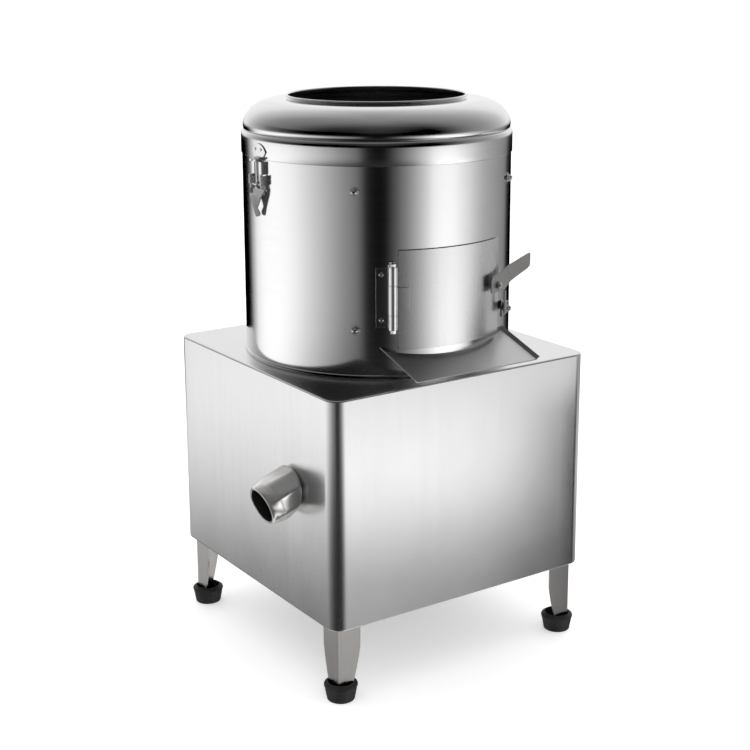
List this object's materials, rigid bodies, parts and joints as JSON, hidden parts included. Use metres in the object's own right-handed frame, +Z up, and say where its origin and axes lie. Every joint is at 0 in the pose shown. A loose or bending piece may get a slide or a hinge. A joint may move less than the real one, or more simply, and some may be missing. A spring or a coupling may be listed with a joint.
{
  "type": "potato peeling machine",
  "caption": "Floor-standing potato peeler: stainless drum with open domed lid and side discharge door on a square cabinet with corner legs and a drain outlet.",
  "frame": {"origin": "on the floor under the drum's axis", "axes": "+Z up along the drum's axis, -Y out through the discharge door, -X towards the drain outlet"},
  "size_m": [0.5729, 0.5288, 0.8816],
  "materials": {
    "stainless_sheet": "brushed",
    "stainless_drum": "polished",
    "stainless_legs": "brushed",
    "black_rubber": "matte",
    "painted_frame": "satin paint",
    "abrasive": "rough grit",
    "bright_steel": "bright",
    "cast_disc": "cast",
    "cast_iron": "painted casting",
    "motor_paint": "satin paint",
    "drain_steel": "satin",
    "outlet_metal": "cast, machined",
    "pressed_steel": "bright zinc",
    "polished_door": "polished",
    "switch_plastic": "moulded",
    "green_plastic": "moulded",
    "red_plastic": "moulded"
  },
  "bodies": {
    "cabinet": {"housing_shell": "stainless_sheet", "housing_top": "stainless_sheet", "post_front_left": "stainless_legs", "post_front_right": "stainless_legs", "post_rear_left": "stainless_legs", "post_rear_right": "stainless_legs", "foot_front_left": "black_rubber", "foot_front_right": "black_rubber", "foot_rear_left": "black_rubber", "foot_rear_right": "black_rubber", "lower_frame": "painted_frame", "upper_frame": "painted_frame", "bearing_bridge": "painted_frame", "drum_shell": "stainless_drum", "abrasive_liner": "abrasive", "liner_cap_nuts": "bright_steel", "liner_screws": "bright_steel", "waste_pan": "stainless_drum", "bearing_housing": "cast_iron", "shaft_bearings": "bright_steel", "shaft_seal": "black_rubber", "bearing_bolts": "bright_steel", "drive_belt": "black_rubber", "motor_body": "motor_paint", "motor_fan_cover": "motor_paint", "motor_terminal_box": "motor_paint", "motor_bracket": "painted_frame", "drain_elbow": "drain_steel", "drain_outlet": "outlet_metal", "latch_bases": "pressed_steel", "drum_hinge_leaf": "pressed_steel", "hinge_pin": "bright_steel", "door_keeper": "pressed_steel", "discharge_chute": "stainless_drum", "switch_box": "switch_plastic", "water_inlet": "bright_steel", "cable_gland": "switch_plastic"},
    "lid": {"lid_skirt": "stainless_drum", "lid_dome": "stainless_drum", "lid_gasket": "black_rubber", "latch_keepers": "pressed_steel"},
    "left_latch": {"left_latch_lever": "pressed_steel"},
    "right_latch": {"right_latch_lever": "pressed_steel"},
    "left_hook": {"left_latch_hook": "pressed_steel"},
    "right_hook": {"right_latch_hook": "pressed_steel"},
    "door": {"door_panel": "polished_door", "door_seal": "black_rubber", "door_hinge_leaf": "pressed_steel", "latch_pivot_bolt": "bright_steel"},
    "door_latch": {"door_latch_lever": "pressed_steel"},
    "turntable": {"turntable_disc": "cast_disc", "abrasive_pad": "abrasive", "hub_nut": "bright_steel", "drive_shaft": "bright_steel", "driven_pulley": "cast_iron"},
    "motor_rotor": {"motor_shaft": "bright_steel", "motor_pulley": "cast_iron"},
    "start_switch": {"start_button": "green_plastic"},
    "stop_switch": {"stop_button": "red_plastic"}
  },
  "joints": [
    {"name": "door_swing", "type": "hinge", "parent": "cabinet", "child": "door", "pos_m": [-0.10409, -0.19495, 0.6], "axis": [0, 0, -1], "range_deg": [0, 115]},
    {"name": "door_latch_turn", "type": "hinge", "parent": "door", "child": "door_latch", "pos_m": [0.08162, -0.2072, 0.5995], "axis": [-0.3665, 0.9304, 0], "range_deg": [0, 40]},
    {"name": "turntable_spin", "type": "hinge", "parent": "cabinet", "child": "turntable", "pos_m": [0, 0, 0.475], "axis": [0, 0, 1], "continuous": true},
    {"name": "motor_spin", "type": "hinge", "parent": "cabinet", "child": "motor_rotor", "pos_m": [0.12, 0.12, 0.275], "axis": [0, 0, 1], "continuous": true},
    {"name": "lid_lift", "type": "slide", "parent": "cabinet", "child": "lid", "axis": [0, 0, 1], "range_m": [0, 0.12]},
    {"name": "left_latch_open", "type": "hinge", "parent": "cabinet", "child": "left_latch", "pos_m": [-0.2183, 0, 0.7635], "axis": [0, 1, 0], "range_deg": [0, 120]},
    {"name": "left_hook_swing", "type": "hinge", "parent": "left_latch", "child": "left_hook", "pos_m": [-0.2183, 0, 0.756], "axis": [0, 1, 0], "range_deg": [-120, 0]},
    {"name": "right_latch_open", "type": "hinge", "parent": "cabinet", "child": "right_latch", "pos_m": [0.2183, 0, 0.7635], "axis": [0, -1, 0], "range_deg": [0, 120]},
    {"name": "right_hook_swing", "type": "hinge", "parent": "right_latch", "child": "right_hook", "pos_m": [0.2183, 0, 0.756], "axis": [0, -1, 0], "range_deg": [-120, 0]},
    {"name": "start_press", "type": "slide", "parent": "cabinet", "child": "start_switch", "axis": [-1, 0, 0], "range_m": [0, 0.003], "stiffness_N_per_m": 300},
    {"name": "stop_press", "type": "slide", "parent": "cabinet", "child": "stop_switch", "axis": [-1, 0, 0], "range_m": [0, 0.003], "stiffness_N_per_m": 300}
  ],
  "couplings": [
    {"joint": "motor_spin", "follows": "turntable_spin", "ratio": 3.8571},
    {"joint": "left_hook_swing", "follows": "left_latch_open", "ratio": -1},
    {"joint": "right_hook_swing", "follows": "right_latch_open", "ratio": -1}
  ]
}
